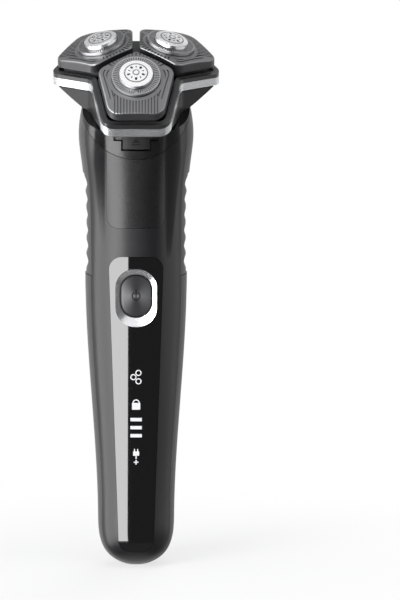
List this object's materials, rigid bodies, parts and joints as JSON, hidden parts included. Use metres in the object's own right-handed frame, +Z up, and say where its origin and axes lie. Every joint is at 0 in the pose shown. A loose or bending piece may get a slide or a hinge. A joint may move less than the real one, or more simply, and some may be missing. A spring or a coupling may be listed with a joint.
{
  "type": "electric shaver",
  "caption": "Cordless rotary shaver: slim tapered handle, angled tri-lobe head with flexing shaving caps, and a pop-up trimmer on the back.",
  "frame": {"origin": "lowest point of the rounded handle end, where the shaver sits in its charging seat", "axes": "+Z up along the handle to the head, -Y the front with the button, +X to the right of someone facing the front"},
  "size_m": [0.0522, 0.045, 0.1705],
  "materials": {
    "shell": "satin dark grey moulded plastic",
    "rear": "fine matt dark grey plastic",
    "collar": "satin plastic",
    "plate": "satin plastic",
    "lens": "black high gloss",
    "chrome": "bright plated",
    "button": "dark spun metal",
    "grip": "soft-touch rubber",
    "trim": "satin silver plated",
    "pod": "ribbed grey metallic",
    "steel": "polished shaving steel",
    "guard": "finely slotted shaving foil",
    "cap": "white moulded disc",
    "dark": "black moulded plastic",
    "gear": "natural acetal",
    "base": "charcoal plastic",
    "motor_can": "plated can",
    "cell": "shrink sleeve",
    "board": "solder resist",
    "brass": "nickel brass",
    "led": "clear white"
  },
  "bodies": {
    "handle": {"front_shell": "shell", "rear_shell": "rear", "collar": "collar", "coupling_seat": "dark", "shaft_seal": "grip", "front_plate": "plate", "display_lens": "lens", "button_ring": "chrome", "side_grip_left": "grip", "side_grip_right": "grip", "back_grip": "grip", "chassis": "dark", "motor": "motor_can", "battery": "cell", "battery_tabs": "brass", "circuit_board": "board", "tact_switch": "dark", "display_lights": "led", "charging_inlet": "dark", "inlet_pins": "brass", "shell_screws": "motor_can", "trimmer_hinge_pin": "motor_can"},
    "power_button": {"power_button": "button"},
    "motor_shaft": {"motor_shaft": "motor_can", "motor_rotor": "motor_can"},
    "drive_shaft": {"drive_shaft": "gear"},
    "trimmer_slide": {"trimmer_slide": "button"},
    "trimmer_arm": {"trimmer_arm": "dark", "trimmer_comb": "steel"},
    "trimmer_blade": {"trimmer_blade": "steel"},
    "shaving_unit": {"unit_base": "base", "gear_cover": "dark", "holder_hinge_pin": "motor_can"},
    "release_button": {"release_button": "base"},
    "sun_gear": {"sun_gear": "gear"},
    "holder": {"holder_frame": "dark", "head_trim": "trim"},
    "drive_spindle_front": {"drive_spindle_front": "gear"},
    "gimbal_front": {"gimbal_ring_front": "dark"},
    "pod_front": {"pod_front": "pod", "guard_front": "guard", "cap_disc_front": "cap"},
    "cutter_front": {"cutter_front": "steel"},
    "drive_spindle_right": {"drive_spindle_right": "gear"},
    "gimbal_right": {"gimbal_ring_right": "dark"},
    "pod_right": {"pod_right": "pod", "guard_right": "guard", "cap_disc_right": "cap"},
    "cutter_right": {"cutter_right": "steel"},
    "drive_spindle_left": {"drive_spindle_left": "gear"},
    "gimbal_left": {"gimbal_ring_left": "dark"},
    "pod_left": {"pod_left": "pod", "guard_left": "guard", "cap_disc_left": "cap"},
    "cutter_left": {"cutter_left": "steel"}
  },
  "joints": [
    {"name": "power_button_press", "type": "slide", "parent": "handle", "child": "power_button", "axis": [0, 1, 0], "range_m": [0, 0.0006], "stiffness_N_per_m": 800},
    {"name": "motor_spin", "type": "hinge", "parent": "handle", "child": "motor_shaft", "pos_m": [0, 0.00339, 0.14288], "axis": [0, 0, 1], "continuous": true},
    {"name": "drive_shaft_spin", "type": "hinge", "parent": "handle", "child": "drive_shaft", "pos_m": [0, 0.00339, 0.14288], "axis": [0, -0.4848, 0.8746], "continuous": true},
    {"name": "trimmer_slide_travel", "type": "slide", "parent": "handle", "child": "trimmer_slide", "axis": [0, 0, -1], "range_m": [0, 0.003], "stiffness_N_per_m": 100},
    {"name": "trimmer_open", "type": "hinge", "parent": "handle", "child": "trimmer_arm", "pos_m": [0, 0.0141, 0.1052], "axis": [-1, 0, 0], "range_deg": [0, 50]},
    {"name": "trimmer_blade_stroke", "type": "slide", "parent": "trimmer_arm", "child": "trimmer_blade", "axis": [1, 0, 0], "range_m": [-0.0004, 0.0004]},
    {"name": "shaving_unit_pull", "type": "slide", "parent": "handle", "child": "shaving_unit", "axis": [0, -0.4848, 0.8746], "range_m": [0, 0.02]},
    {"name": "release_press", "type": "slide", "parent": "shaving_unit", "child": "release_button", "axis": [0, 1, 0], "range_m": [0, 0.0006], "stiffness_N_per_m": 800},
    {"name": "sun_gear_spin", "type": "hinge", "parent": "shaving_unit", "child": "sun_gear", "pos_m": [0, 0, 0.149], "axis": [0, -0.4848, 0.8746], "continuous": true},
    {"name": "holder_open", "type": "hinge", "parent": "shaving_unit", "child": "holder", "pos_m": [0, 0.01156, 0.16444], "axis": [-1, 0, 0], "range_deg": [0, 60]},
    {"name": "spindle_spin_front", "type": "hinge", "parent": "shaving_unit", "child": "drive_spindle_front", "pos_m": [0, -0.00918, 0.14391], "axis": [0, -0.4848, 0.8746], "continuous": true},
    {"name": "pod_roll_front", "type": "hinge", "parent": "holder", "child": "gimbal_front", "pos_m": [0, -0.01412, 0.15281], "axis": [0, -0.6947, -0.7193], "range_deg": [-3, 3], "stiffness_Nm_per_rad": 0.05},
    {"name": "pod_tilt_front", "type": "hinge", "parent": "gimbal_front", "child": "pod_front", "pos_m": [0, -0.01412, 0.15281], "axis": [-1, 0, 0], "range_deg": [-3, 3], "stiffness_Nm_per_rad": 0.05},
    {"name": "cutter_spin_front", "type": "hinge", "parent": "pod_front", "child": "cutter_front", "pos_m": [0, -0.01901, 0.15754], "axis": [0, -0.7193, 0.6947], "continuous": true},
    {"name": "spindle_spin_right", "type": "hinge", "parent": "shaving_unit", "child": "drive_spindle_right", "pos_m": [0.00909, 0.00459, 0.15155], "axis": [0, -0.4848, 0.8746], "continuous": true},
    {"name": "pod_roll_right", "type": "hinge", "parent": "holder", "child": "gimbal_right", "pos_m": [0.00909, -0.00034, 0.16045], "axis": [0.8282, 0.5599, -0.0239], "range_deg": [-3, 3], "stiffness_Nm_per_rad": 0.05},
    {"name": "pod_tilt_right", "type": "hinge", "parent": "gimbal_right", "child": "pod_right", "pos_m": [0.00909, -0.00034, 0.16045], "axis": [0.5, -0.7574, -0.4199], "range_deg": [-3, 3], "stiffness_Nm_per_rad": 0.05},
    {"name": "cutter_spin_right", "type": "hinge", "parent": "pod_right", "child": "cutter_right", "pos_m": [0.01081, -0.00263, 0.16662], "axis": [0.2532, -0.3358, 0.9073], "continuous": true},
    {"name": "spindle_spin_left", "type": "hinge", "parent": "shaving_unit", "child": "drive_spindle_left", "pos_m": [-0.00909, 0.00459, 0.15155], "axis": [0, -0.4848, 0.8746], "continuous": true},
    {"name": "pod_roll_left", "type": "hinge", "parent": "holder", "child": "gimbal_left", "pos_m": [-0.00909, -0.00034, 0.16045], "axis": [-0.8282, 0.5599, -0.0239], "range_deg": [-3, 3], "stiffness_Nm_per_rad": 0.05},
    {"name": "pod_tilt_left", "type": "hinge", "parent": "gimbal_left", "child": "pod_left", "pos_m": [-0.00909, -0.00034, 0.16045], "axis": [0.5, 0.7574, 0.4199], "range_deg": [-3, 3], "stiffness_Nm_per_rad": 0.05},
    {"name": "cutter_spin_left", "type": "hinge", "parent": "pod_left", "child": "cutter_left", "pos_m": [-0.01081, -0.00263, 0.16662], "axis": [-0.2532, -0.3358, 0.9073], "continuous": true}
  ],
  "couplings": [
    {"joint": "drive_shaft_spin", "follows": "motor_spin", "ratio": 1},
    {"joint": "sun_gear_spin", "follows": "motor_spin", "ratio": 1},
    {"joint": "spindle_spin_front", "follows": "motor_spin", "ratio": -1.3333},
    {"joint": "cutter_spin_front", "follows": "motor_spin", "ratio": -1.3333},
    {"joint": "spindle_spin_right", "follows": "motor_spin", "ratio": -1.3333},
    {"joint": "cutter_spin_right", "follows": "motor_spin", "ratio": -1.3333},
    {"joint": "spindle_spin_left", "follows": "motor_spin", "ratio": -1.3333},
    {"joint": "cutter_spin_left", "follows": "motor_spin", "ratio": -1.3333}
  ]
}
